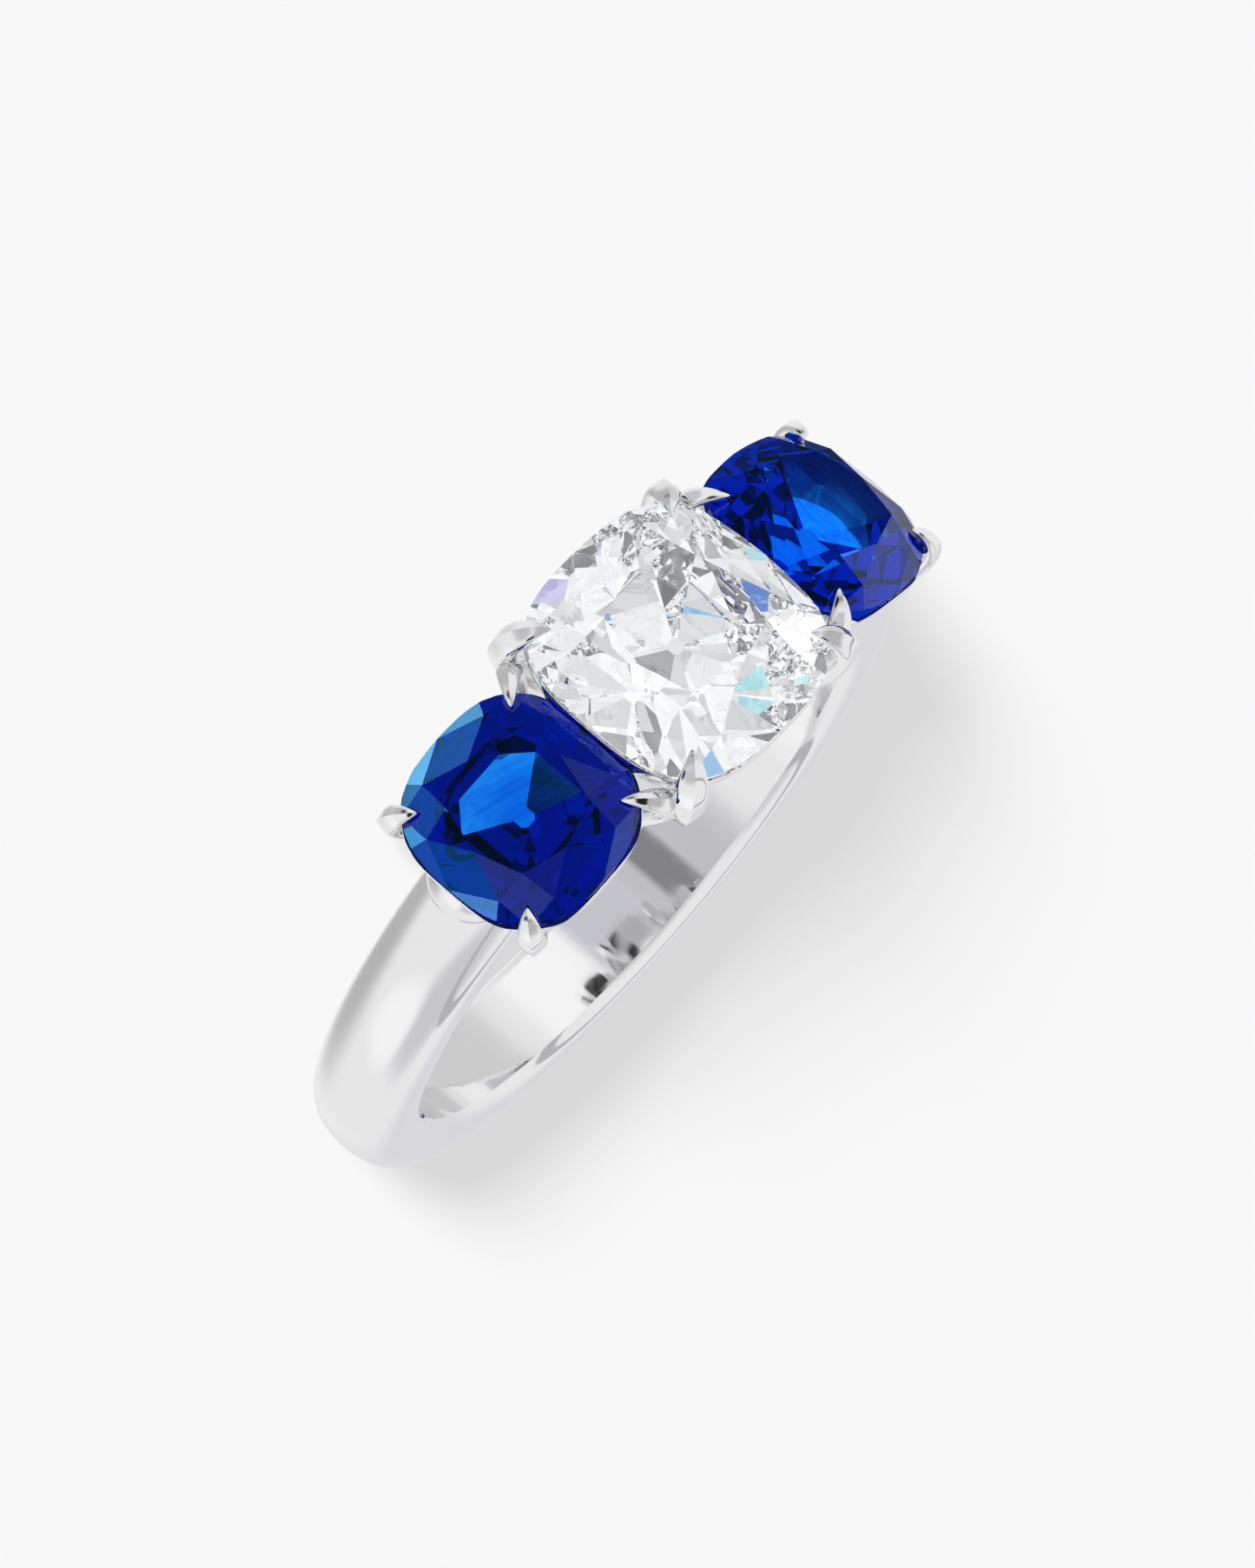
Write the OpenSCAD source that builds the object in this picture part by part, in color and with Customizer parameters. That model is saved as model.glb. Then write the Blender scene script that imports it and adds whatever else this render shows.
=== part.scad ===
// Three-stone ring: a cushion-cut diamond between two cushion-cut sapphires, in one soldered mount.
// It is built as worn, with the finger hole along Y and the diamond straight up, about the centre
// of the finger hole. Then lie_down() turns it about X onto its side, as it lies on a table, with
// the stones to the front.

/* [Finger] */
// Inside diameter of the finger hole
finger_d = 17; // [16.6:0.1:17.2]

/* [Shank] */
// Width of the shank across the finger
shank_w = 2.9; // [2.6:0.1:3.2]
// Thickness of the shank, from the finger hole to its outside
shank_t = 2; // [1.9:0.05:2.2]
// Squareness of the rounded section: 2 is an ellipse
shank_round = 2.3; // [2:0.05:2.6]
// Part of the thickness that lies inside the widest line of the section
shank_belly = 0.42; // [0.35:0.01:0.5]

/* [Head] */
// Length of the head along the row of stones, over the rounded bosses at its ends
head_l = 16.8; // [16.7:0.05:16.9]
// Gap between a stone and the metal that holds it
seat_gap = 0.04; // [0.03:0.01:0.05]
// Width of the diamond's claws
diamond_claw_w = 1; // [0.9:0.02:1.04]
// Width of the sapphires' claws
sapphire_claw_w = 0.78; // [0.7:0.02:0.86]
// How much farther the sapphires' inner claws reach, to the foot of the diamond's claws
inner_reach = 0.35; // [0.25:0.05:0.4]
// Radius at the foot of the tapered well below the diamond
diamond_well_r = 1.05; // [0.8:0.05:1.2]
// Radius at the foot of the tapered well below a sapphire
sapphire_well_r = 0.95; // [0.8:0.05:1.05]
// Radius of the rounded boss between a sapphire's cup and the shoulder of the shank
boss_r = 1.15; // [1:0.05:1.25]
// Distance of the boss from the middle of the sapphire
boss_x = 2; // [1.9:0.05:2.1]

/* [Diamond] */
// Length of the diamond along the row of stones
diamond_l = 6.9; // [6.8:0.02:6.96]
// Width of the diamond across the row
diamond_w = 6.98; // [6.8:0.02:7.04]
// Height of the diamond's girdle above the centre of the finger hole
diamond_z = 11.5; // [11.48:0.01:11.6]
// Roundness of the cushion outline: 2 is an ellipse and 4 is nearly a square
diamond_round = 3.05; // [2.8:0.05:3.2]
// Height of the crown above the girdle
diamond_crown = 1.2; // [1:0.05:1.3]
// Depth of the pavilion below the girdle
diamond_depth = 2.85; // [2.7:0.05:2.9]
// Size of the flat table as a share of the stone
diamond_table = 0.53; // [0.48:0.01:0.6]

/* [Sapphires] */
// Length of each sapphire along the row of stones
sapphire_l = 5.4; // [5.3:0.02:5.44]
// Width of each sapphire across the row
sapphire_w = 5.58; // [5.4:0.02:5.7]
// Distance from the middle of the ring to the middle of a sapphire's girdle, along the row
sapphire_x = 5.8; // [5.78:0.01:5.85]
// Height of a sapphire's girdle centre above the centre of the finger hole
sapphire_z = 10.15; // [10.1:0.01:10.16]
// Outward tilt of each sapphire in degrees
sapphire_tilt = 21; // [20.5:0.5:22]
// Roundness of the cushion outline
sapphire_round = 2.7; // [2.5:0.05:2.9]
// Height of the crown above the girdle
sapphire_crown = 0.85; // [0.7:0.05:0.95]
// Depth of the pavilion below the girdle
sapphire_depth = 2.4; // [2.2:0.05:2.45]
// Size of the flat table as a share of the stone
sapphire_table = 0.6; // [0.54:0.01:0.66]

/* [Rest] */
// Angle in degrees between the finger hole's axis and upright, as the ring lies on its side
rest_tilt = 5.9; // [5:0.1:7]

/* [Hidden] */

finger_r = finger_d / 2;
belly_r = finger_r + shank_t * shank_belly;
belly_out = shank_t * (1 - shank_belly);
// The shank ends inside the sapphires' cups, and a slightly slimmer bar goes on below the stones
shank_end = 41;
bar_end = shank_end + 2;
bar_share = 0.93;
// Each well tapers from this share of its stone's half length, and is this high
well_share = 0.75;
well_h = 3;
outline_steps = 3;
claw_sides = 12;

// Rows of a claw from deep in the cup to its tip: reach beyond the girdle's corner, height, width and
// thickness, all as shares of the claw's full width, and the share of any extra reach
claw_rows = [
    [-1.05, -2.90, 0.70, 0.60, 0.0],
    [-0.35, -2.05, 0.82, 0.74, 0.5],
    [0.12, -1.45, 0.92, 0.84, 1.0],
    [0.38, -0.90, 1.00, 0.90, 1.0],
    [0.46, -0.38, 1.00, 0.88, 1.0],
    [0.36, 0.04, 0.94, 0.76, 0.9],
    [0.11, 0.34, 0.78, 0.58, 0.7],
    [-0.18, 0.50, 0.54, 0.40, 0.4],
    [-0.42, 0.56, 0.28, 0.22, 0.1],
    [-0.60, 0.56, 0.05, 0.05, 0.0],
];

// Rows of a cup from its rim down: height from the girdle, and reach beyond the stone's outline
diamond_cup_rows = [
    [-0.16, 0.00], [-0.24, 0.03], [-0.60, -0.02], [-1.10, -0.20],
    [-1.80, -0.72], [-2.50, -1.25], [-3.40, -1.65],
];
sapphire_cup_rows = [
    [-0.15, 0.02], [-0.22, 0.08], [-0.55, 0.04], [-1.00, -0.16],
    [-1.60, -0.55], [-2.30, -0.95], [-3.80, -1.30],
];

// Steps of a sapphire's pavilion: how deep they end, and the size there, as shares
sapphire_steps = [[0.32, 0.82], [0.66, 0.52], [1, 0.09]];

// A stone's sizes in one list, and the names of its columns
diamond_cut = [
    diamond_l / 2, diamond_w / 2, diamond_round, diamond_crown, diamond_depth, 0.09, diamond_table,
];
sapphire_cut = [
    sapphire_l / 2, sapphire_w / 2, sapphire_round, sapphire_crown, sapphire_depth, 0.07, sapphire_table,
];
function half_l(s) = s[0];
function half_w(s) = s[1];
function roundness(s) = s[2];
function crown(s) = s[3];
function depth(s) = s[4];
function half_girdle(s) = s[5];
function table(s) = s[6];

function flat(lists) = [for (list = lists) for (item = list) item];
function lift(p, z) = [p.x, p.y, z];

// The point where the ray through p crosses the cushion outline, grown by reach
function on_outline(s, p, reach = 0) =
    let (a = half_l(s) + reach, b = half_w(s) + reach, n = roundness(s))
    p * pow(pow(abs(p.x) / a, n) + pow(abs(p.y) / b, n), -1 / n);

// The middle of main facet i at the girdle, its outward direction, and its distance from the axis
function main_point(s, i) = on_outline(s, [half_l(s) * cos(45 * i), half_w(s) * sin(45 * i)]);
function slope_part(v, half, n) = sign(v) * pow(abs(v) / half, n - 1) / half;
function main_normal(s, i) =
    let (p = main_point(s, i), n = roundness(s))
    let (g = [slope_part(p.x, half_l(s), n), slope_part(p.y, half_w(s), n)])
    g / norm(g);
function main_reach(s, i) = main_normal(s, i) * main_point(s, i);

// The corner where main facets i and i + 1 meet at the girdle's size
function main_corner(s, i) =
    let (m = main_normal(s, i), n = main_normal(s, i + 1))
    let (d = main_reach(s, i), e = main_reach(s, i + 1), c = m.x * n.y - m.y * n.x)
    [(d * n.y - e * m.y) / c, (e * m.x - d * n.x) / c];

// Girdle point k of 16: even ones lie at a main facet's middle, odd ones between two mains
function girdle_point(s, k) =
    k % 2 == 0 ? main_point(s, k / 2) : on_outline(s, main_corner(s, (k - 1) / 2));

// Points of the outline from girdle point k up to the next one, which belongs to the next stretch
function outline_stretch(s, k, steps, reach = 0) =
    let (p = girdle_point(s, k), q = girdle_point(s, k + 1))
    [for (j = [0:steps - 1]) on_outline(s, p + (q - p) * j / steps, reach)];

// Height at point q of the plane through p1, p2 and p3
function plane_height(p1, p2, p3, q) =
    let (n = cross(p2 - p1, p3 - p1))
    p1.z - (n.x * (q.x - p1.x) + n.y * (q.y - p1.y)) / n.z;

// Girdle edges of the 16 facets that rise or fall from height z to the junctions of the mains
function girdle_edges(s, share, junction_z, z) = flat([for (k = [0:15])
    let (peak = lift(main_corner(s, floor(k / 2)) * share, junction_z))
    let (p = lift(girdle_point(s, k), z), q = lift(girdle_point(s, k + 1), z))
    [for (r = outline_stretch(s, k, outline_steps)) lift(r, plane_height(peak, p, q, r))]]);

// Corners of a brilliant crown: the table, the junctions of the mains, and the girdle's upper edge
function crown_corners(s) =
    let (low = half_girdle(s), star = 0.52, junction_z = low + star * (crown(s) - low))
    let (share = 1 - (1 - table(s)) * star)
    concat(
        [for (i = [0:7]) lift(main_point(s, i) * table(s), crown(s))],
        [for (i = [0:7]) lift(main_corner(s, i) * share, junction_z)],
        girdle_edges(s, share, junction_z, low)
    );

// Corners of a brilliant pavilion with a small flat culet
function brilliant_pavilion(s) =
    let (culet = 0.06, lower = 0.62, low = -half_girdle(s))
    let (junction_z = low - lower * (depth(s) + low), share = 1 - lower * (1 - culet))
    concat(
        [for (i = [0:7]) lift(main_corner(s, i) * culet, -depth(s))],
        [for (i = [0:7]) lift(main_corner(s, i) * share, junction_z)],
        girdle_edges(s, share, junction_z, low)
    );

// Corners of a stepped pavilion: each step is an octagon, and the first meets the curved girdle
function step_pavilion(s, steps) =
    let (low = -half_girdle(s), fall = (steps[0][0] * depth(s) + low) / (1 - steps[0][1]))
    concat(
        [for (step = steps) for (i = [0:7]) lift(main_corner(s, i) * step[1], -depth(s) * step[0])],
        flat([for (k = [0:15])
            let (i = floor((k + 1) / 2))
            [for (r = outline_stretch(s, k, outline_steps))
                lift(r, low - fall * (1 - r * main_normal(s, i) / main_reach(s, i)))]])
    );

// A cut stone has flat facets and no hollow, so it is the hull of its corners
module cut_stone(corners) {
    hull()
        polyhedron(points = corners, faces = [[for (i = [0:len(corners) - 1]) i]]);
}

module diamond_shape() {
    cut_stone(concat(crown_corners(diamond_cut), brilliant_pavilion(diamond_cut)));
}

module sapphire_shape() {
    cut_stone(concat(crown_corners(sapphire_cut), step_pavilion(sapphire_cut, sapphire_steps)));
}

module at_diamond() {
    translate([0, 0, diamond_z])
        children();
}

// side is -1 for the left sapphire and 1 for the right one
module at_sapphire(side) {
    translate([side * sapphire_x, 0, sapphire_z])
        rotate([0, side * sapphire_tilt, 0])
            children();
}

// Skin over a list of rings of points, each anticlockwise round the way they travel
module skin(rings) {
    n = len(rings[0]);
    last = len(rings) - 1;
    sides = [for (i = [0:last - 1]) for (j = [0:n - 1])
        let (a = i * n + j, b = i * n + (j + 1) % n)
        [[a, a + n, b + n], [a, b + n, b]]];
    ends = [[for (j = [0:n - 1]) j], [for (j = [n - 1:-1:0]) last * n + j]];
    polyhedron(points = flat(rings), faces = concat(flat(sides), ends));
}

// The way a claw runs at row i, as its share outward and its share upward
function claw_direction(i) =
    let (a = claw_rows[max(i - 1, 0)], b = claw_rows[min(i + 1, len(claw_rows) - 1)])
    let (d = [b[0] - a[0], b[1] - a[1]])
    d / norm(d);

// One claw, rising out of the cup beyond the stone's corner and bending over it to a point
module claw(s, width, corner, extra) {
    p = on_outline(s, [corner.x * half_l(s), corner.y * half_w(s)]);
    out = [p.x, p.y, 0] / norm(p);
    across = [-out.y, out.x, 0];
    up = [0, 0, 1];
    skin([for (i = [0:len(claw_rows) - 1])
        let (row = claw_rows[i], d = claw_direction(i), thick = up * d[0] - out * d[1])
        let (middle = out * (norm(p) + row[0] * width + row[4] * extra) + up * row[1] * width)
        [for (j = [0:claw_sides - 1])
            let (t = 360 * j / claw_sides)
            middle + (across * cos(t) * row[2] + thick * sin(t) * row[3]) * width / 2]]);
}

// Tapered cup that follows the stone's outline and reaches down past the finger hole's wall
module cup(s, rows) {
    skin([for (i = [len(rows) - 1:-1:0])
        flat([for (k = [0:15])
            [for (p = outline_stretch(s, k, 2, rows[i][1])) lift(p, rows[i][0])]])]);
}

// A cup and its four claws. The claws on the inner side, 1 or -1 along the row, reach farther
module setting(s, rows, claw_w, inner = 0) {
    cup(s, rows);
    for (x = [-1, 1])
        for (y = [-1, 1])
            claw(s, claw_w, [x, y], x == inner ? inner_reach : 0);
}

// Room for a stone: its own shape grown by the seat gap, and below it a well into the finger hole
module seat(s, well_r) {
    grow = 1 + 2 * seat_gap / half_l(s);
    scale([grow, grow, grow])
        children();
    translate([0, 0, -depth(s) / 4 - well_h])
        cylinder(r1 = well_r, r2 = well_share * half_l(s), h = well_h, $fn = 48);
}

function rounded(v) = sign(v) * pow(abs(v), 2 / shank_round);
function shank_section(share) = [for (t = [0:15:359])
    [belly_r + belly_out * share * rounded(cos(t)), shank_w / 2 * share * rounded(sin(t))]];

// Part of the shank between two angles from the diamond. The finger hole is cut through it later
module shank(from, to, share) {
    rotate([90, 0, 0])
        rotate([0, 0, 90 - to])
            rotate_extrude(angle = to - from, $fn = 120)
                polygon(shank_section(share));
}

module head() {
    shank(-bar_end, bar_end, bar_share);
    at_diamond()
        setting(diamond_cut, diamond_cup_rows, diamond_claw_w);
    for (side = [-1, 1])
        at_sapphire(side) {
            setting(sapphire_cut, sapphire_cup_rows, sapphire_claw_w, -side);
            translate([side * boss_x, 0, -boss_r])
                sphere(r = boss_r, $fn = 32);
        }
}

module finger_hole() {
    rotate([90, 0, 0])
        cylinder(r = finger_r, h = 4 * shank_w, center = true, $fn = 128);
}

module lie_down() {
    rotate([90 - rest_tilt, 0, 0])
        children();
}

module ring_mount() {
    color([0.83, 0.83, 0.84])
        lie_down()
            difference() {
                union() {
                    shank(shank_end, 360 - shank_end, 1);
                    resize([head_l, 0, 0])
                        head();
                }
                finger_hole();
                at_diamond()
                    seat(diamond_cut, diamond_well_r)
                        diamond_shape();
                for (side = [-1, 1])
                    at_sapphire(side)
                        seat(sapphire_cut, sapphire_well_r)
                            sapphire_shape();
            }
}

module centre_diamond() {
    color([0.93, 0.95, 0.97])
        lie_down()
            at_diamond()
                diamond_shape();
}

module side_sapphire(side) {
    color([0.04, 0.10, 0.62])
        lie_down()
            at_sapphire(side)
                sapphire_shape();
}

ring_mount();
centre_diamond();
side_sapphire(-1);  // left_sapphire
side_sapphire(1);  // right_sapphire
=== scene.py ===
"""A three-stone ring of polished white metal, with a cushion-cut diamond between two cushion-cut
sapphires, lying on its side. Its pieces are modelled as worn, in millimetres, with the finger hole
along Y and the diamond up. Then each is laid down, and goes from millimetres to metres."""
import math

import bpy
from mathutils import Matrix, Vector

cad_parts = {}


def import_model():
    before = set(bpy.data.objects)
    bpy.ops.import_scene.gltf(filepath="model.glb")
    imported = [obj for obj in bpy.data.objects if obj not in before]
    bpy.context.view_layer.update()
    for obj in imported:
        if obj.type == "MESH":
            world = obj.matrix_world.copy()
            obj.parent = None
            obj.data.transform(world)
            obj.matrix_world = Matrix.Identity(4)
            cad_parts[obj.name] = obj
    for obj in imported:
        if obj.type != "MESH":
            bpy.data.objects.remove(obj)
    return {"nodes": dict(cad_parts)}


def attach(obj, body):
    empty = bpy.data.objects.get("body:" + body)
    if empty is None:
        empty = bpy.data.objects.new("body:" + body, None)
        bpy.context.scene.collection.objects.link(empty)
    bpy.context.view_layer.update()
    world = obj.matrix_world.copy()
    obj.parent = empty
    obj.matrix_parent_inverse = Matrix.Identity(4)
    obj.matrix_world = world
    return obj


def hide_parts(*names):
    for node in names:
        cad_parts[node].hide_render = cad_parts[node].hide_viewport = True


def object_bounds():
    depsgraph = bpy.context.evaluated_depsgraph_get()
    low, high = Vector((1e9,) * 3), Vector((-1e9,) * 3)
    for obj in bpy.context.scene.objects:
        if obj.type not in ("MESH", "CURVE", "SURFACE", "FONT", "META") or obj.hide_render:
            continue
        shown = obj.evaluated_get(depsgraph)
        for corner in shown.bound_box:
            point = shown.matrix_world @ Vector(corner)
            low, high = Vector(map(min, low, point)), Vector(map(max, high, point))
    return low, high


MM = 0.001
# On its side the ring rests on two claws and the far side of its band, so the finger hole leans a little
REST_TILT = math.radians(5.9)
LAY_DOWN = Matrix.Rotation(math.radians(90) - REST_TILT, 3, "X")

# Band: its width, thickness and roundness, and the share of its thickness that lies inside its middle
FINGER_R = 8.5
SHANK_W = 2.9
SHANK_T = 2.0
SHANK_ROUND = 2.3
SHANK_BELLY = 0.42
# The shank ends under the sapphires, and a slimmer bar goes on from it below the stones
SHANK_END = math.radians(41)
BAR_SHARE = 0.93
BAR_OVERLAP = math.radians(2)
BAND_SEGMENTS = 14
SPIN_STEP = 2
HOLE_SIDES = 256

# Stones and what holds them
DIAMOND = dict(
    half_l=3.45, half_w=3.49, roundness=3.05, crown=1.2, depth=2.85, girdle=0.09, table=0.53,
    claw_w=1.0, well_r=1.05,
)
SAPPHIRE = dict(
    half_l=2.7, half_w=2.79, roundness=2.7, crown=0.85, depth=2.4, girdle=0.07, table=0.6,
    claw_w=0.78, well_r=0.95,
)
DIAMOND_Z = 11.5
SAPPHIRE_X = 5.8
SAPPHIRE_Z = 10.15
SAPPHIRE_TILT = math.radians(21)
STONE_SEGMENTS = 12
SEAT_GAP = 0.04
WELL_SHARE = 0.75
WELL_H = 3
WELL_SIDES = 64
BOSS_R = 1.15
BOSS_X = 2.0
BOSS_SIDES = 64
# How much farther a sapphire's claws next to the diamond reach out
INNER_REACH = 0.35

# Corners nearer than this are one: in bands and the mount, in plates, in stones, and in slivers from cuts
SAME_CORNER = 0.0005
PLATE_CORNER = 0.001
FACET_CORNER = 0.002
SLIVER = 0.01
ON_FACET = 1e-5
ALMOST_FLAT = math.radians(0.05)
# Subdivision of cups and claws, and how sharp it leaves their edges
CURVE_LEVELS = 2
RIM_CREASE = 0.9
FOOT_CREASE = 1
RIDGE_CREASE = 0.85
SMOOTH_BELOW = math.radians(30)

# Rows of a claw from deep in the cup to its tip, in claw widths apart from the last number
# Each gives the reach beyond the girdle's corner, height, width, thickness and share of any extra reach
CLAW_ROWS = (
    (-1.05, -2.90, 0.70, 0.60, 0.0),
    (-0.35, -2.05, 0.82, 0.74, 0.5),
    (0.12, -1.45, 0.92, 0.84, 1.0),
    (0.38, -0.90, 1.00, 0.90, 1.0),
    (0.46, -0.38, 1.00, 0.88, 1.0),
    (0.36, 0.04, 0.94, 0.76, 0.9),
    (0.11, 0.34, 0.78, 0.58, 0.7),
    (-0.18, 0.50, 0.54, 0.40, 0.4),
    (-0.42, 0.56, 0.28, 0.22, 0.1),
    (-0.60, 0.56, 0.05, 0.05, 0.0),
)
# Rows of a cup from its rim down: height from the girdle, and reach beyond the stone's outline
DIAMOND_CUP = (
    (-0.16, 0.00), (-0.24, 0.03), (-0.60, -0.02), (-1.10, -0.20),
    (-1.80, -0.72), (-2.50, -1.25), (-3.40, -1.65),
)
SAPPHIRE_CUP = (
    (-0.15, 0.02), (-0.22, 0.08), (-0.55, 0.04), (-1.00, -0.16),
    (-1.60, -0.55), (-2.30, -0.95), (-3.80, -1.30),
)

# The photograph's camera, told as worn: where it stands round the ring, its roll, and what it aims at
CAMERA_AZIMUTH = math.radians(26.4)
CAMERA_HEIGHT = math.radians(10.8)
CAMERA_ROLL = math.radians(44.34)
CAMERA_DISTANCE = 260
PIXELS_PER_MM = 43.95
IMAGE_W, IMAGE_H = 1445, 1806
RING_CENTRE_PX = (697.36, 971.09)
SENSOR = 36


def add_camera():
    # The ring is symmetric, so its far side can be named +Y: the camera stands at +X, +Y and +Z as worn
    flat = math.cos(CAMERA_HEIGHT)
    away = Vector((math.sin(CAMERA_AZIMUTH) * flat, math.sin(CAMERA_HEIGHT), math.cos(CAMERA_AZIMUTH) * flat))
    level = Vector((-1, 0, 0))
    level = (level - level.dot(away) * away).normalized()
    upright = away.cross(level)
    right = math.cos(CAMERA_ROLL) * level - math.sin(CAMERA_ROLL) * upright
    up = math.sin(CAMERA_ROLL) * level + math.cos(CAMERA_ROLL) * upright
    aim = (IMAGE_W / 2 - RING_CENTRE_PX[0]) / PIXELS_PER_MM * right
    aim += (RING_CENTRE_PX[1] - IMAGE_H / 2) / PIXELS_PER_MM * up
    data = bpy.data.cameras.new("photo_camera")
    data.sensor_width = SENSOR
    data.lens = PIXELS_PER_MM * CAMERA_DISTANCE * SENSOR / IMAGE_H
    data.clip_start, data.clip_end = 0.005, 10
    camera = bpy.data.objects.new("photo_camera", data)
    bpy.context.scene.collection.objects.link(camera)
    axes = Matrix((LAY_DOWN @ right, LAY_DOWN @ up, LAY_DOWN @ away)).transposed()
    camera.matrix_world = Matrix.Translation(LAY_DOWN @ (aim + away * CAMERA_DISTANCE) * MM) @ axes.to_4x4()
    bpy.context.scene.camera = camera


def only(*pieces):
    bpy.ops.object.select_all(action="DESELECT")
    for piece in pieces:
        piece.select_set(True)
    bpy.context.view_layer.objects.active = pieces[0]


def named(name):
    piece = bpy.context.object
    piece.name = name
    return piece


def edit(kind="VERT"):
    bpy.ops.object.mode_set(mode="EDIT")
    bpy.ops.mesh.select_mode(type=kind)
    bpy.ops.mesh.select_all(action="SELECT")


def done():
    bpy.ops.object.mode_set(mode="OBJECT")


def choose(piece, test, kind="VERT"):
    """Selects the vertices by their place, or the edges by their ends' places, and leaves edit mode on."""
    bpy.ops.object.mode_set(mode="EDIT")
    bpy.ops.mesh.select_mode(type=kind)
    bpy.ops.mesh.select_all(action="DESELECT")
    bpy.ops.object.mode_set(mode="OBJECT")
    mesh = piece.data
    where = [v.co for v in mesh.vertices]
    if kind == "VERT":
        for v in mesh.vertices:
            v.select = test(v.co)
    else:
        for e in mesh.edges:
            e.select = test([where[i] for i in e.vertices])
    bpy.ops.object.mode_set(mode="EDIT")


def apply_modifier(piece, kind, **settings):
    only(piece)
    mod = piece.modifiers.new(kind.lower(), kind)
    for key, value in settings.items():
        setattr(mod, key, value)
    bpy.ops.object.modifier_apply(modifier=mod.name)


def place(piece, matrix):
    """Sets a piece at its place and makes that place part of its mesh."""
    piece.matrix_world = matrix @ piece.matrix_world
    only(piece)
    bpy.ops.object.transform_apply(location=True, rotation=True, scale=True)


def copy_of(piece, name):
    twin = piece.copy()
    twin.data = piece.data.copy()
    twin.name = name
    bpy.context.scene.collection.objects.link(twin)
    return twin


def at_diamond():
    return Matrix.Translation((0, 0, DIAMOND_Z))


def at_sapphire(side):
    lean = Matrix.Rotation(side * SAPPHIRE_TILT, 4, "Y")
    return Matrix.Translation((side * SAPPHIRE_X, 0, SAPPHIRE_Z)) @ lean


# Outlines

def rounded_plate(name, half_a, half_b, roundness, segments):
    """A flat plate whose outline is a rounded square, from an ellipse at 2 to a square at infinity."""
    bpy.ops.mesh.primitive_plane_add(size=2)
    plate = named(name)
    edit()
    bpy.ops.transform.resize(value=(half_a, half_b, 1))
    profile = 2 ** (-2 / roundness)
    bpy.ops.mesh.bevel(
        offset_type="PERCENT", offset_pct=50, segments=segments, profile=profile,
        affect="VERTICES", clamp_overlap=False,
    )
    bpy.ops.mesh.select_all(action="SELECT")
    bpy.ops.mesh.remove_doubles(threshold=PLATE_CORNER)
    done()
    return plate


# Stones

def outline_point(cut, x, y):
    """The point of a stone's outline that lies in the direction of x and y."""
    a, b, n = cut["half_l"], cut["half_w"], cut["roundness"]
    size = ((abs(x) / a) ** n + (abs(y) / b) ** n) ** (-1 / n)
    return Vector((x * size, y * size, 0))


def main_point(cut, i):
    turn = math.radians(45 * i)
    return outline_point(cut, cut["half_l"] * math.cos(turn), cut["half_w"] * math.sin(turn))


def main_normal(cut, i):
    p, n = main_point(cut, i), cut["roundness"]
    x = math.copysign((abs(p.x) / cut["half_l"]) ** (n - 1) / cut["half_l"], p.x)
    y = math.copysign((abs(p.y) / cut["half_w"]) ** (n - 1) / cut["half_w"], p.y)
    return Vector((x, y, 0)).normalized()


def main_corner(cut, i):
    """The corner where main facets i and i + 1 meet at the girdle's size."""
    m, n = main_normal(cut, i), main_normal(cut, i + 1)
    d, e = m.dot(main_point(cut, i)), n.dot(main_point(cut, i + 1))
    c = m.x * n.y - m.y * n.x
    return Vector(((d * n.y - e * m.y) / c, (e * m.x - d * n.x) / c, 0))


def girdle_point(cut, k):
    if k % 2 == 0:
        return main_point(cut, k // 2)
    corner = main_corner(cut, (k - 1) // 2)
    return outline_point(cut, corner.x, corner.y)


def at_height(p, z):
    return Vector((p.x, p.y, z))


def grind(a, b, c):
    """Cuts one flat facet through three points, and takes away what lies outside it."""
    normal = (b - a).cross(c - a).normalized()
    if normal.dot(a) < 0:
        normal = -normal
    bpy.ops.mesh.select_all(action="SELECT")
    bpy.ops.mesh.bisect(plane_co=a, plane_no=normal, use_fill=True, clear_outer=True, threshold=ON_FACET)


def brilliant_half(cut, base, height, flat_size, part):
    """Mains and the small facets round them, from the girdle at height base up or down to height."""
    junction_z = base + part * (height - base)
    share = 1 - part * (1 - flat_size)
    corners = [at_height(main_corner(cut, i) * share, junction_z) for i in range(8)]
    for i in range(8):
        grind(at_height(main_point(cut, i), base), corners[i - 1], corners[i])
    for k in range(16):
        p, q = girdle_point(cut, k), girdle_point(cut, (k + 1) % 16)
        grind(corners[k // 2], at_height(p, base), at_height(q, base))
    return corners


def crown(cut, star=0.52):
    corners = brilliant_half(cut, cut["girdle"], cut["crown"], cut["table"], star)
    tops = [at_height(main_point(cut, i) * cut["table"], cut["crown"]) for i in range(8)]
    for i in range(8):
        grind(tops[i], tops[(i + 1) % 8], corners[i])


def brilliant_pavilion(cut, culet=0.06, lower=0.62):
    brilliant_half(cut, -cut["girdle"], -cut["depth"], culet, lower)


def step_pavilion(cut, steps=((0.32, 0.82), (0.66, 0.52), (1, 0.09))):
    """Rows of eight facets, each ending at a share of the depth, with its size there as a share."""
    above = (cut["girdle"] / cut["depth"], 1)
    for depth, size in steps:
        for i in range(8):
            out = main_point(cut, i)
            along = main_normal(cut, i).cross(Vector((0, 0, 1)))
            top = at_height(out * above[1], -cut["depth"] * above[0])
            grind(top, top + along, at_height(out * size, -cut["depth"] * depth))
        above = (depth, size)


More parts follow.
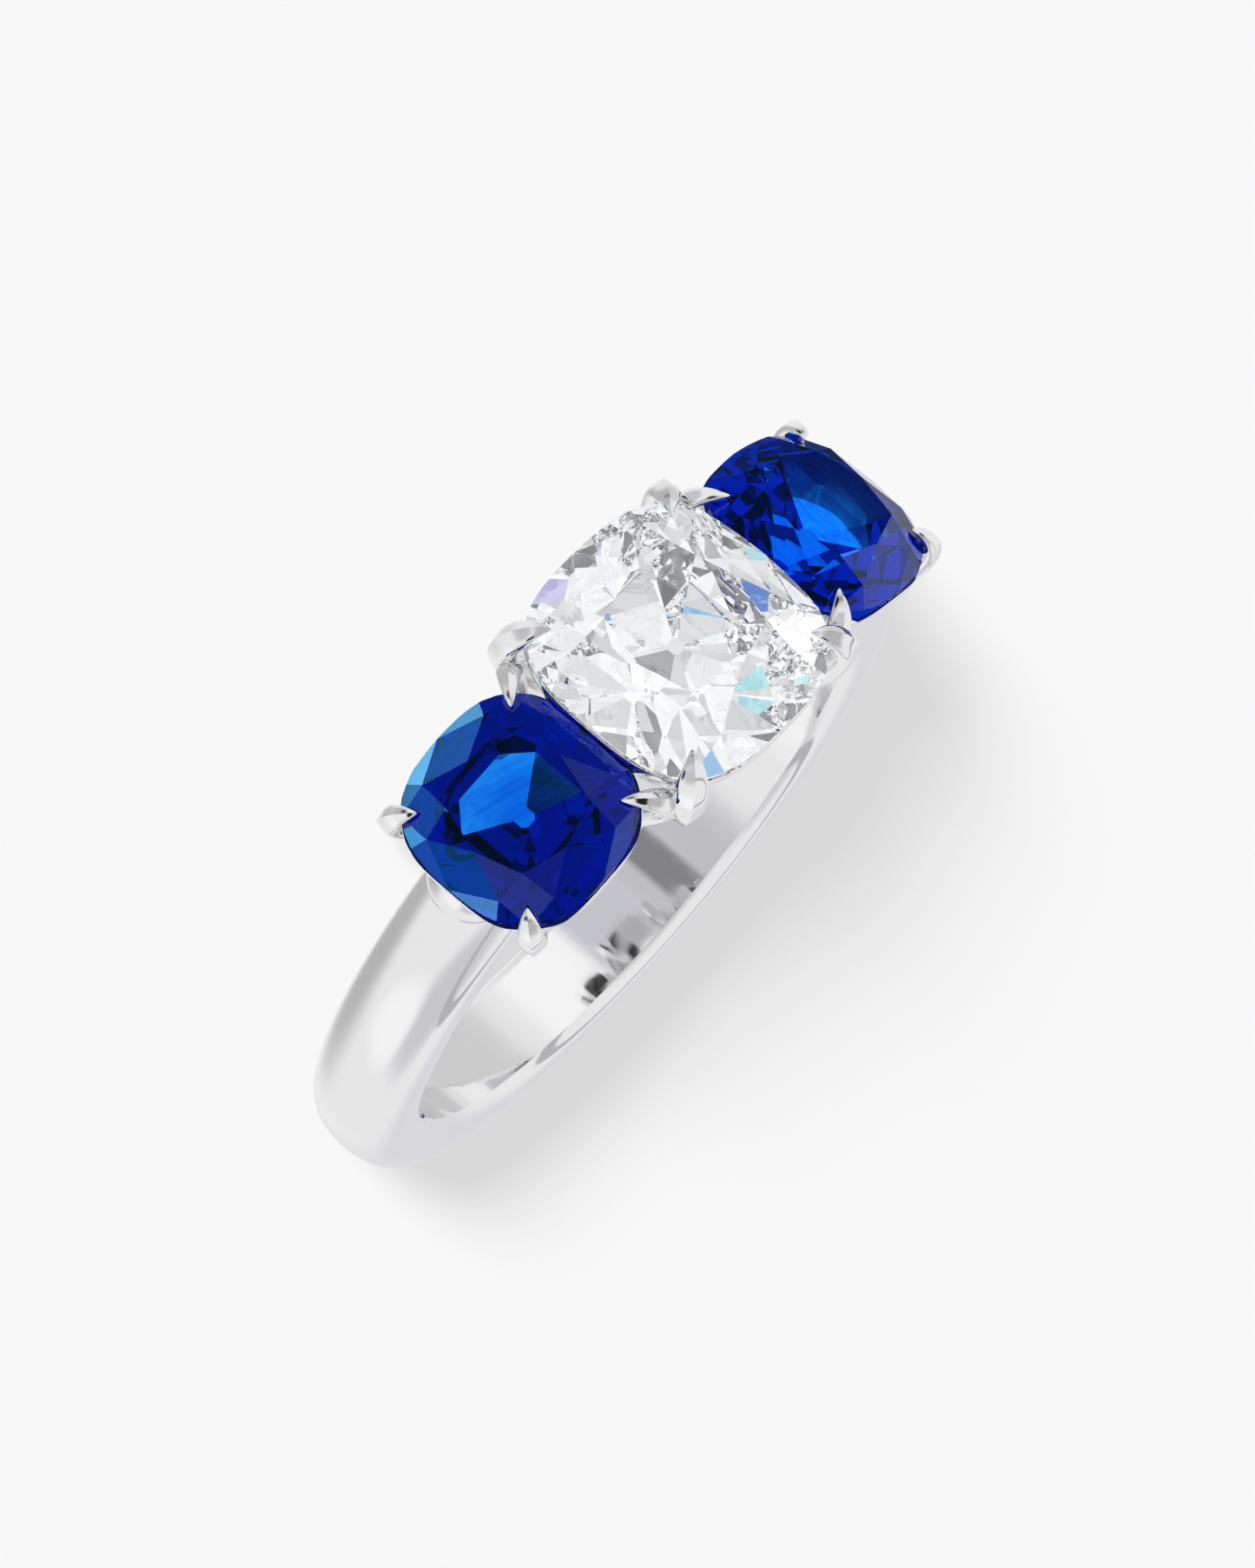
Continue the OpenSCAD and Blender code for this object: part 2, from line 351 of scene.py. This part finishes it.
def cut_stone(name, cut, pavilion):
    stone = rounded_plate(name, cut["half_l"], cut["half_w"], cut["roundness"], STONE_SEGMENTS)
    place(stone, Matrix.Translation((0, 0, -cut["depth"])))
    only(stone)
    edit("FACE")
    bpy.ops.mesh.extrude_region_move(TRANSFORM_OT_translate={"value": (0, 0, cut["depth"] + cut["crown"])})
    bpy.ops.mesh.select_all(action="SELECT")
    bpy.ops.mesh.normals_make_consistent(inside=False)
    crown(cut)
    pavilion(cut)
    bpy.ops.mesh.select_all(action="SELECT")
    bpy.ops.mesh.remove_doubles(threshold=FACET_CORNER)
    bpy.ops.mesh.dissolve_limited(angle_limit=ALMOST_FLAT)
    bpy.ops.mesh.normals_make_consistent(inside=False)
    done()
    bpy.ops.object.shade_flat()
    return stone


# Metal

def spun_band(name, start, end, share):
    """The rounded section of the shank, spun round the finger from one angle to another."""
    half_t = SHANK_T * (1 - SHANK_BELLY) * share
    bar = rounded_plate(name, half_t, SHANK_W / 2 * share, SHANK_ROUND, BAND_SEGMENTS)
    middle = FINGER_R + SHANK_T * SHANK_BELLY
    # The plate stands across the band at +Z, then leans to the start
    stand = Matrix.Translation((0, 0, middle)) @ Matrix.Rotation(math.radians(90), 4, "Y")
    place(bar, Matrix.Rotation(start, 4, "Y") @ stand)
    only(bar)
    edit("FACE")
    steps = round(math.degrees(end - start) / SPIN_STEP)
    bpy.ops.mesh.spin(steps=steps, angle=start - end, center=(0, 0, 0), axis=(0, 1, 0))
    bpy.ops.mesh.select_all(action="SELECT")
    bpy.ops.mesh.remove_doubles(threshold=SAME_CORNER)
    bpy.ops.mesh.normals_make_consistent(inside=False)
    done()
    return bar


def cup(name, cut, rows):
    """The stone's outline, drawn down row by row into a tapered cup."""
    (rim, out), foot = rows[0], rows[-1][0]
    body = rounded_plate(name, cut["half_l"] + out, cut["half_w"] + out, cut["roundness"], STONE_SEGMENTS)
    place(body, Matrix.Translation((0, 0, rim)))
    only(body)
    edit("FACE")
    for above, row in zip(rows, rows[1:]):
        bpy.ops.mesh.extrude_region_move(TRANSFORM_OT_translate={"value": (0, 0, row[0] - above[0])})
        wide = [(cut[side] + row[1]) / (cut[side] + above[1]) for side in ("half_l", "half_w")]
        bpy.ops.transform.resize(value=(wide[0], wide[1], 1), center_override=(0, 0, row[0]))
    bpy.ops.mesh.select_all(action="SELECT")
    bpy.ops.mesh.normals_make_consistent(inside=False)
    done()
    choose(body, lambda ends: all(p.z > rim - PLATE_CORNER for p in ends), "EDGE")
    bpy.ops.transform.edge_crease(value=RIM_CREASE)
    choose(body, lambda ends: all(p.z < foot + PLATE_CORNER for p in ends), "EDGE")
    bpy.ops.transform.edge_crease(value=FOOT_CREASE)
    done()
    apply_modifier(body, "SUBSURF", levels=CURVE_LEVELS, render_levels=CURVE_LEVELS)
    return body


# Where a claw's round section has its outer pairs of points, and how far each pair is drawn in to a ridge
RIDGE = ((0.924, 0.25), (0.707, 0.53), (0.383, 0.85))
RIDGE_NEAR = 0.05
CLAW_SIDES = 16


def claw(name, width, extra):
    """A claw in the XZ plane, X outward. Its section keeps a ridge on the outer side up to the tip."""
    rows = []
    for i, (reach, height, wide, thick, part) in enumerate(CLAW_ROWS):
        before, after = CLAW_ROWS[max(i - 1, 0)], CLAW_ROWS[min(i + 1, len(CLAW_ROWS) - 1)]
        lean = math.atan2(after[0] - before[0], after[1] - before[1])
        middle = Vector((reach * width + part * extra, 0, height * width))
        rows.append((middle, lean, wide * width / 2, thick * width / 2))
    bpy.ops.mesh.primitive_circle_add(vertices=CLAW_SIDES, radius=1, fill_type="NGON")
    body = named(name)
    for height, pinch in RIDGE:
        choose(body, lambda p, height=height: abs(p.x - height) < RIDGE_NEAR)
        bpy.ops.transform.resize(value=(1, pinch, 1))
    done()
    middle, lean, wide, thick = rows[0]
    leaning = Matrix.Rotation(lean, 4, "Y")
    place(body, Matrix.Translation(middle) @ leaning @ Matrix.Diagonal((thick, wide, 1, 1)))
    only(body)
    edit("FACE")
    for before, row in zip(rows, rows[1:]):
        bpy.ops.mesh.extrude_region_move(TRANSFORM_OT_translate={"value": row[0] - before[0]})
        turn(-before[1], row[0])
        bpy.ops.transform.resize(value=(row[3] / before[3], row[2] / before[2], 1), center_override=row[0])
        turn(row[1], row[0])
    bpy.ops.mesh.select_all(action="SELECT")
    bpy.ops.mesh.normals_make_consistent(inside=False)
    done()
    ridge = [row[0] + Matrix.Rotation(row[1], 3, "Y") @ Vector((row[3], 0, 0)) for row in rows]
    on_ridge = lambda p: any((p - r).length < FACET_CORNER for r in ridge)
    choose(body, lambda ends: all(on_ridge(p) for p in ends), "EDGE")
    bpy.ops.transform.edge_crease(value=RIDGE_CREASE)
    done()
    apply_modifier(body, "SUBSURF", levels=CURVE_LEVELS, render_levels=CURVE_LEVELS)
    return body


def turn(angle, centre):
    """Turns the selection about Y. With no window the operator turns the other way, so it is negated."""
    bpy.ops.transform.rotate(value=-angle, orient_axis="Y", center_override=centre)


def claw_places(cut):
    """The four corners of a stone's outline: the side each is on, and its place with X outward."""
    for x in (-1, 1):
        for y in (-1, 1):
            p = outline_point(cut, x * cut["half_l"], y * cut["half_w"])
            yield x, Matrix.Translation(p) @ Matrix.Rotation(math.atan2(p.y, p.x), 4, "Z")


def fused(name, pieces):
    """One body out of pieces that run into each other."""
    others = bpy.data.collections.new(name)
    bpy.context.scene.collection.children.link(others)
    for piece in pieces[1:]:
        others.objects.link(piece)
    apply_modifier(
        pieces[0], "BOOLEAN", operation="UNION", solver="EXACT", operand_type="COLLECTION", collection=others
    )
    for piece in pieces[1:]:
        bpy.data.objects.remove(piece)
    bpy.data.collections.remove(others)
    pieces[0].name = name
    return pieces[0]


def cut_away(piece, cutter, finish=None):
    """Takes a cutter out of a piece, and leaves the cutter's own finish on what it cut."""
    if finish:
        cutter.data.materials.append(finish)
    apply_modifier(
        piece, "BOOLEAN", operation="DIFFERENCE", solver="EXACT", material_mode="TRANSFER", object=cutter
    )
    bpy.data.objects.remove(cutter)


def close_slivers(body):
    """Joins corners that the cuts left a hair apart, so that the surface is closed."""
    only(body)
    edit()
    bpy.ops.mesh.remove_doubles(threshold=SAME_CORNER)
    bpy.ops.mesh.select_all(action="DESELECT")
    bpy.ops.mesh.select_non_manifold()
    bpy.ops.mesh.remove_doubles(threshold=SLIVER)
    done()


def build_mount(stones, polished, brightened_satin):
    pieces = [
        spun_band("shank", SHANK_END, math.radians(360) - SHANK_END, 1),
        spun_band("bar", -SHANK_END - BAR_OVERLAP, SHANK_END + BAR_OVERLAP, BAR_SHARE),
    ]
    wide_claw = claw("claw", DIAMOND["claw_w"], 0)
    outer_claw = claw("claw", SAPPHIRE["claw_w"], 0)
    inner_claw = claw("claw", SAPPHIRE["claw_w"], INNER_REACH)
    body = cup("cup", DIAMOND, DIAMOND_CUP)
    place(body, at_diamond())
    pieces.append(body)
    for _, where in claw_places(DIAMOND):
        body = copy_of(wide_claw, "claw")
        place(body, at_diamond() @ where)
        pieces.append(body)
    for side in (-1, 1):
        body = cup("cup", SAPPHIRE, SAPPHIRE_CUP)
        place(body, at_sapphire(side))
        pieces.append(body)
        for x, where in claw_places(SAPPHIRE):
            body = copy_of(inner_claw if x == -side else outer_claw, "claw")
            place(body, at_sapphire(side) @ where)
            pieces.append(body)
        bpy.ops.mesh.primitive_uv_sphere_add(segments=BOSS_SIDES, ring_count=BOSS_SIDES // 2, radius=BOSS_R)
        body = named("boss")
        place(body, at_sapphire(side) @ Matrix.Translation((side * BOSS_X, 0, -BOSS_R)))
        pieces.append(body)
    for pattern in (wide_claw, outer_claw, inner_claw):
        bpy.data.objects.remove(pattern)
    mount = fused("mount", pieces)
    mount.data.materials.clear()
    mount.data.materials.append(polished)
    bpy.ops.mesh.primitive_cylinder_add(vertices=HOLE_SIDES, radius=FINGER_R, depth=4 * SHANK_W)
    hole = named("finger_hole")
    place(hole, Matrix.Rotation(math.radians(90), 4, "X"))
    cut_away(mount, hole)
    for stone, cut, where in stones:
        seat = copy_of(stone, "seat")
        grow = 1 + 2 * SEAT_GAP / cut["half_l"]
        place(seat, where @ Matrix.Diagonal((grow, grow, grow, 1)) @ where.inverted())
        # Seat and well walls take the whiter satin metal, painted light under the stones
        cut_away(mount, seat, brightened_satin)
        wide = WELL_SHARE * cut["half_l"]
        bpy.ops.mesh.primitive_cone_add(
            vertices=WELL_SIDES, radius1=cut["well_r"], radius2=wide, depth=WELL_H
        )
        well = named("well")
        place(well, where @ Matrix.Translation((0, 0, -cut["depth"] / 4 - WELL_H / 2)))
        cut_away(mount, well, brightened_satin)
    close_slivers(mount)
    return mount


# Materials

def new_material(name):
    material = bpy.data.materials.new(name)
    material.use_nodes = True
    tree = material.node_tree
    return material, tree.nodes, tree.links, tree.nodes["Principled BSDF"]


def noise(nodes, links, size, detail=2, along=None, length=1):
    """Noise on the piece's own coordinates, its size in millimetres, drawn out along a direction."""
    where = nodes.new("ShaderNodeTexCoord")
    mapping = nodes.new("ShaderNodeMapping")
    mapping.vector_type = "TEXTURE"
    mapping.inputs["Scale"].default_value = (size * MM, size * length * MM, size * MM)
    if along:
        mapping.inputs["Rotation"].default_value = Vector(along).to_track_quat("Y", "Z").to_euler()
    links.new(where.outputs["Object"], mapping.inputs["Vector"])
    texture = nodes.new("ShaderNodeTexNoise")
    texture.inputs["Scale"].default_value = 1
    texture.inputs["Detail"].default_value = detail
    links.new(mapping.outputs["Vector"], texture.inputs["Vector"])
    return texture.outputs[0]


def tones(nodes, links, value, start, dark, end, light):
    """Colours a value from dark to light between two of its levels."""
    node = nodes.new("ShaderNodeValToRGB")
    for element, place, colour in zip(node.color_ramp.elements, (start, end), (dark, light)):
        element.position = place
        element.color = (*colour, 1)
    links.new(value, node.inputs["Fac"])
    return node.outputs["Color"]


def spread(nodes, links, value, low, high):
    """Turns a noise value into a number between low and high."""
    node = nodes.new("ShaderNodeMapRange")
    node.inputs["From Min"].default_value = 0.3
    node.inputs["From Max"].default_value = 0.7
    node.inputs["To Min"].default_value = low
    node.inputs["To Max"].default_value = high
    links.new(value, node.inputs["Value"])
    return node.outputs["Result"]


def white_metal(name, brightness, smoothest, roughest, waviness):
    """Platinum alloy: faint clouds in its colour, fine wear in its finish, and slight waves."""
    material, nodes, links, shader = new_material(name)
    clouds = noise(nodes, links, size=2.4, detail=3)
    dull, bright = brightness - 0.015, brightness + 0.01
    dull, bright = (dull, dull, dull + 0.005), (bright, bright, bright + 0.005)
    colour = tones(nodes, links, clouds, 0.3, dull, 0.7, bright)
    links.new(colour, shader.inputs["Base Color"])
    shader.inputs["Metallic"].default_value = 1
    wear = noise(nodes, links, size=0.38, detail=4)
    links.new(spread(nodes, links, wear, smoothest, roughest), shader.inputs["Roughness"])
    bump = nodes.new("ShaderNodeBump")
    bump.inputs["Strength"].default_value = waviness
    bump.inputs["Distance"].default_value = 0.02 * MM
    links.new(noise(nodes, links, size=1.1), bump.inputs["Height"])
    links.new(bump.outputs["Normal"], shader.inputs["Normal"])
    return material


def cut_gem(name, ior):
    material, nodes, links, shader = new_material(name)
    shader.inputs["Roughness"].default_value = 0
    shader.inputs["IOR"].default_value = ior
    shader.inputs["Transmission Weight"].default_value = 1
    return material, nodes, links, shader


def clear_diamond():
    """A colourless diamond with the faintest clouds."""
    material, nodes, links, shader = cut_gem("clear_diamond", ior=2.417)
    clouds = noise(nodes, links, size=0.9)
    colour = tones(nodes, links, clouds, 0.35, (0.985, 0.99, 0.995), 0.65, (1, 1, 1))
    links.new(colour, shader.inputs["Base Color"])
    return material


# What is left of white light after its way through a sapphire, which takes more of it the denser it is
DEPTH_COLOUR = {"left": (0, 0.69, 0.94, 1), "right": (0, 0.64, 0.912, 1)}
SAPPHIRE_DENSITY = 1940
SILK_SHADE = (0.5, 0.66, 0.88)
SILK_ALONG = {"left": (0.146, 0.371, 0.918), "right": (-0.871, -0.327, 0.366)}


def blue_sapphire(name, silk_along, depth_colour):
    """Royal blue that deepens with the light's way through the stone, with threads of silk across it."""
    material, nodes, links, shader = cut_gem(name, ior=1.77)
    shader.inputs["Specular Tint"].default_value = (0.5, 0.7, 1, 1)
    silk = noise(nodes, links, size=0.16, along=silk_along, length=18)
    colour = tones(nodes, links, silk, 0.42, SILK_SHADE, 0.58, (1, 1, 1))
    links.new(colour, shader.inputs["Base Color"])
    inside = nodes.new("ShaderNodeVolumeAbsorption")
    inside.inputs["Color"].default_value = depth_colour
    inside.inputs["Density"].default_value = SAPPHIRE_DENSITY
    links.new(inside.outputs["Volume"], nodes["Material Output"].inputs["Volume"])
    return material


# Studio

# The white of the ground in linear light
WHITE = 0.939
# The studio's soft boxes and dark cards are spots in a round sky, and each row of a table is one spot
# A row says how far it leans from the ring's top to the left sapphire and how far it stands out to -Y
# Then it says within which angle the spot is full and beyond which it is gone, and its light
# All the angles are in degrees, and a later row lies over an earlier one
# What the metal mirrors
METAL_GROUND = (0.88, 0.88, 0.88)
METAL_SPOTS = (
    (-150, 62, 12, 48, (0.50, 0.50, 0.50)),
    (-108, -42, 12, 38, (0.628, 0.628, 0.664)),
    (150, -12, 12, 40, (0.74, 0.74, 0.77)),
    (-110, -2, 8, 24, (0.99, 0.99, 0.99)),
    (85, 10, 15, 36, (0.66, 0.66, 0.66)),
    (-38, 10, 12, 34, (0.57, 0.57, 0.60)),
    (-4, 10, 8, 16, (0.605, 0.605, 0.65)),
    (27, 10, 9, 20, (1.0, 1.0, 1.0)),
    (-33, 10, 4, 8, (0.25, 0.25, 0.26)),
    (-10, -50, 18, 40, (0.50, 0.50, 0.51)),
    (0, 62, 16, 40, (0.50, 0.50, 0.51)),
    (-50, -35, 7, 15, (0.02, 0.02, 0.02)),
    (10, -30, 6, 14, (0.02, 0.02, 0.02)),
    (20, 50, 8, 16, (0.02, 0.02, 0.02)),
    (-60, 40, 7, 15, (0.06, 0.06, 0.10)),
)
# Rows of thin bands: what they stand square to, how far off the middle, half their width, soft edge, light
METAL_BANDS = (
    (0, 90, -0.80, 0.02, 0.02, (0.49, 0.49, 0.51)),
)
# What the facets mirror
FACET_GROUND = (0.04, 0.09, 0.12)
FACET_SPOTS = (
    (-175, 74, 13, 24, (1.8, 5.4, 6.2)),
    (9, 80, 2, 5, (0.3, 1.2, 1.7)),
    (-110, 40, 8, 16, (1.2, 4.2, 5.0)),
    (-107, 19, 4, 7, (0.25, 0.95, 1.5)),
    (-105, 4, 5, 8, (1.4, 3.3, 5.0)),
    (-88, 11, 4, 7, (0.1, 0.7, 1.2)),
    (-80, 52, 4, 7, (0.2, 0.9, 1.4)),
    (-63, -1, 4, 7, (0.50, 0.50, 0.48)),
    (31, 0, 4, 7, (0.36, 0.36, 0.34)),
    (-31, -34, 4, 7, (0.16, 0.18, 0.20)),
    (38, -27, 4, 7, (0.28, 0.28, 0.28)),
    (-70, -31, 4, 7, (0.55, 0.55, 0.52)),
    (92, -34, 22, 34, (0.95, 0.95, 0.95)),
    (118, 2, 8, 12, (0.60, 0.60, 0.60)),
    (142, 11, 4, 8, (1.0, 1.0, 1.0)),
    (33, -51, 4, 7, (0.5, 0.5, 0.5)),
    (26, -71, 4, 7, (1.0, 0.95, 0.9)),
    (51, -46, 4, 6, (1.0, 0.95, 0.9)),
    (62, -19, 4, 7, (0.9, 0.88, 0.86)),
)
# What the stones gather and send back from inside
INNER_GROUND = (1.18, 1.18, 1.18)
INNER_WIDE_SPOTS = (
    (0, -73, 20, 50, (1.0, 1.0, 1.0)),
    (-18, 7, 14, 28, (0.84, 0.84, 0.84)),
)
INNER_BANDS = (
    (82, 44.5, 0.25, 0.05, 0.03, (0.78, 0.78, 0.78)),
    (-72, 50, 0.30, 0.05, 0.03, (0.78, 0.78, 0.78)),
)
# The coloured ones give the diamond its fire, and the last one is behind its culet
INNER_SPOTS = (
    (-158, 17, 14, 20, (0.2, 0.2, 0.2)),
    (148, -19, 30, 40, (1.55, 1.55, 1.55)),
    (-56, 11.5, 3.2, 4.6, (0.50, 0.93, 1.0)),
    (-39, -3, 3, 5, (0.50, 0.93, 1.0)),
    (-14, 4, 3, 4.5, (0.25, 0.60, 1.0)),
    (35, 21, 3, 4.5, (0.10, 0.30, 0.90)),
    (47, 17, 2, 3.2, (0.66, 0.62, 1.0)),
    (19, 11, 4, 6, (0.40, 0.40, 0.40)),
    (152.8, 11.1, 0.6, 1.0, (0.02, 0.02, 0.02)),
)
# The key gives this share of the ground's light, and the ground's own glow gives the rest
KEY_SHARE = 0.27
KEY_TURN = math.radians(25)
KEY_HEIGHT = math.radians(8)
KEY_SOFT = math.radians(6)
FLOOR_SIZE = 4
FLOOR_WHITE = 0.94
# The share of the key's light that the ground shows, as measured
FLOOR_RETURN = 0.972


def toward(lean, side):
    """A direction as worn, turned with the ring as it lies."""
    lean, side = math.radians(lean), math.radians(side)
    flat = math.cos(side)
    return LAY_DOWN @ Vector((-math.sin(lean) * flat, -math.sin(side), math.cos(lean) * flat))


class Sky:
    """The studio round the ring, as a world shader."""

    def __init__(self, name):
        world = bpy.data.worlds.new(name)
        bpy.context.scene.world = world
        world.use_nodes = True
        self.nodes = world.node_tree.nodes
        self.links = world.node_tree.links
        self.way = self.nodes.new("ShaderNodeTexCoord").outputs["Generated"]
        self.ray = self.nodes.new("ShaderNodeLightPath").outputs

    def feed(self, socket, value):
        if isinstance(value, bpy.types.NodeSocket):
            self.links.new(value, socket)
        else:
            socket.default_value = value

    def math(self, operation, *values):
        node = self.nodes.new("ShaderNodeMath")
        node.operation = operation
        for socket, value in zip(node.inputs, values):
            self.feed(socket, value)
        return node.outputs[0]

    def along(self, direction):
        """The cosine of the angle between a ray and a direction."""
        node = self.nodes.new("ShaderNodeVectorMath")
        node.operation = "DOT_PRODUCT"
        self.feed(node.inputs[0], self.way)
        self.feed(node.inputs[1], direction)
        return node.outputs["Value"]

    def fade(self, value, start, end):
        node = self.nodes.new("ShaderNodeMapRange")
        node.interpolation_type = "SMOOTHSTEP"
        self.feed(node.inputs["Value"], value)
        self.feed(node.inputs["From Min"], start)
        self.feed(node.inputs["From Max"], end)
        return node.outputs["Result"]

    def mix(self, share, a, b):
        node = self.nodes.new("ShaderNodeMix")
        node.data_type = "RGBA"
        self.feed(node.inputs["Factor"], share)
        self.feed(node.inputs[6], a)
        self.feed(node.inputs[7], b)
        return node.outputs[2]

    def spots(self, colour, rows):
        for lean, side, full, gone, light in rows:
            near = self.along(toward(lean, side))
            share = self.fade(near, math.cos(math.radians(gone)), math.cos(math.radians(full)))
            colour = self.mix(share, colour, (*light, 1))
        return colour

    def bands(self, colour, rows):
        for lean, side, offset, half, soft, light in rows:
            off = self.math("ABSOLUTE", self.math("SUBTRACT", self.along(toward(lean, side)), offset))
            colour = self.mix(self.fade(off, half + soft, half), colour, (*light, 1))
        return colour


def add_sky():
    sky = Sky("studio")
    metal = sky.spots((*METAL_GROUND, 1), METAL_SPOTS)
    metal = sky.bands(metal, METAL_BANDS)
    facets = sky.spots((*FACET_GROUND, 1), FACET_SPOTS)
    inner = sky.spots((*INNER_GROUND, 1), INNER_WIDE_SPOTS)
    inner = sky.bands(inner, INNER_BANDS)
    inner = sky.spots(inner, INNER_SPOTS)
    light = sky.mix(sky.ray["Is Singular Ray"], metal, facets)
    light = sky.mix(sky.ray["Is Transmission Ray"], light, inner)
    # The floor gives its own light, so the sky gives it none, and it shows as an even white
    light = sky.mix(sky.ray["Is Diffuse Ray"], light, (0, 0, 0, 1))
    light = sky.mix(sky.ray["Is Camera Ray"], light, (WHITE, WHITE, WHITE, 1))
    sky.feed(sky.nodes["Background"].inputs["Color"], light)


def add_floor(floor_z):
    bpy.ops.mesh.primitive_plane_add(size=FLOOR_SIZE, location=(0, 0, floor_z))
    floor = named("floor")
    material, nodes, links, shader = new_material("floor")
    shader.inputs["Base Color"].default_value = (FLOOR_WHITE, FLOOR_WHITE, FLOOR_WHITE, 1)
    shader.inputs["Roughness"].default_value = 1
    shader.inputs["Specular IOR Level"].default_value = 0
    shader.inputs["Emission Color"].default_value = (1, 1, 1, 1)
    shader.inputs["Emission Strength"].default_value = WHITE * (1 - KEY_SHARE)
    floor.data.materials.append(material)
    floor.visible_glossy = False
    floor.visible_transmission = False


def add_lamp(name, data, matrix):
    lamp = bpy.data.objects.new(name, data)
    bpy.context.scene.collection.objects.link(lamp)
    lamp.matrix_world = matrix
    lamp.visible_camera = False
    lamp.visible_glossy = False
    return lamp


def add_key():
    """The one lamp that casts a shadow, low and soft."""
    sun = bpy.data.lights.new("key", "SUN")
    sun.angle = KEY_SOFT
    sun.energy = WHITE * KEY_SHARE * math.pi / FLOOR_RETURN / math.sin(KEY_HEIGHT)
    flat = math.cos(KEY_HEIGHT)
    away = Vector((math.sin(KEY_TURN) * flat, -math.cos(KEY_TURN) * flat, math.sin(KEY_HEIGHT)))
    key = add_lamp("key", sun, away.to_track_quat("Z", "Y").to_matrix().to_4x4())
    key.visible_transmission = False


def add_glow(name, where, below, wide, light):
    """A small disc of light at the foot of a well, which shows only through its stone."""
    disc = bpy.data.lights.new(name, "AREA")
    disc.shape = "DISK"
    disc.size = wide * MM
    disc.energy = light * math.pi * math.pi * (wide / 2 * MM) ** 2
    upward = Matrix.Rotation(math.radians(180), 4, "X")
    turned = LAY_DOWN.to_4x4() @ where @ Matrix.Translation((0, 0, -below)) @ upward
    turned.translation *= MM
    glow = add_lamp(name, disc, turned)
    glow.visible_diffuse = False


def set_light_paths():
    """Light crosses the diamond many times before it leaves, so the paths are long."""
    scene = bpy.context.scene
    scene.view_settings.view_transform = "Standard"
    cycles = scene.cycles
    cycles.max_bounces = 72
    cycles.glossy_bounces = 72
    cycles.transmission_bounces = 24
    cycles.sample_clamp_indirect = 10
    cycles.caustics_reflective = False
    cycles.caustics_refractive = False


def add_studio(floor_z):
    add_sky()
    add_floor(floor_z)
    add_key()
    add_glow("glow_under_diamond", at_diamond(), below=2.95, wide=2.8, light=0.88)
    add_glow("glow_under_left_sapphire", at_sapphire(-1), below=2.5, wide=2.5, light=1.15)
    set_light_paths()


def main():
    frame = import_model()
    cad_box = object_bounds()
    only(*frame["nodes"].values())
    bpy.ops.object.select_all(action="DESELECT")
    add_camera()

    polished = white_metal(
        "polished_white_metal", brightness=0.90, smoothest=0.03, roughest=0.065, waviness=0.12
    )
    # The seats and wells are a whiter metal than the polished band. This is painted light that brightens what
    # shines up through the stones; their rougher satin is their finish.
    brightened_satin = white_metal("satin_white_metal", brightness=0.96, smoothest=0.35, roughest=0.45, waviness=0.3)
    diamond = cut_stone("diamond", DIAMOND, brilliant_pavilion)
    place(diamond, at_diamond())
    sapphires = {}
    for side, name in ((-1, "left"), (1, "right")):
        sapphires[side] = cut_stone("sapphire_" + name, SAPPHIRE, step_pavilion)
        place(sapphires[side], at_sapphire(side))
    stones = [(diamond, DIAMOND, at_diamond())]
    stones += [(sapphires[side], SAPPHIRE, at_sapphire(side)) for side in (-1, 1)]
    mount = build_mount(stones, polished, brightened_satin)
    only(mount)
    bpy.ops.object.shade_smooth_by_angle(angle=SMOOTH_BELOW)
    diamond.data.materials.append(clear_diamond())
    for side, name in ((-1, "left"), (1, "right")):
        blue = blue_sapphire("blue_sapphire_" + name, SILK_ALONG[name], DEPTH_COLOUR[name])
        sapphires[side].data.materials.append(blue)

    for piece, node, slot in (
        (mount, "ring_mount", "white_metal"),
        (diamond, "centre_diamond", "diamond"),
        (sapphires[-1], "left_sapphire", "sapphire"),
        (sapphires[1], "right_sapphire", "sapphire"),
    ):
        place(piece, LAY_DOWN.to_4x4() @ Matrix.Diagonal((MM, MM, MM, 1)))
        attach(piece, "root")
        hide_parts(node)

    add_studio(cad_box[0].z)


main()
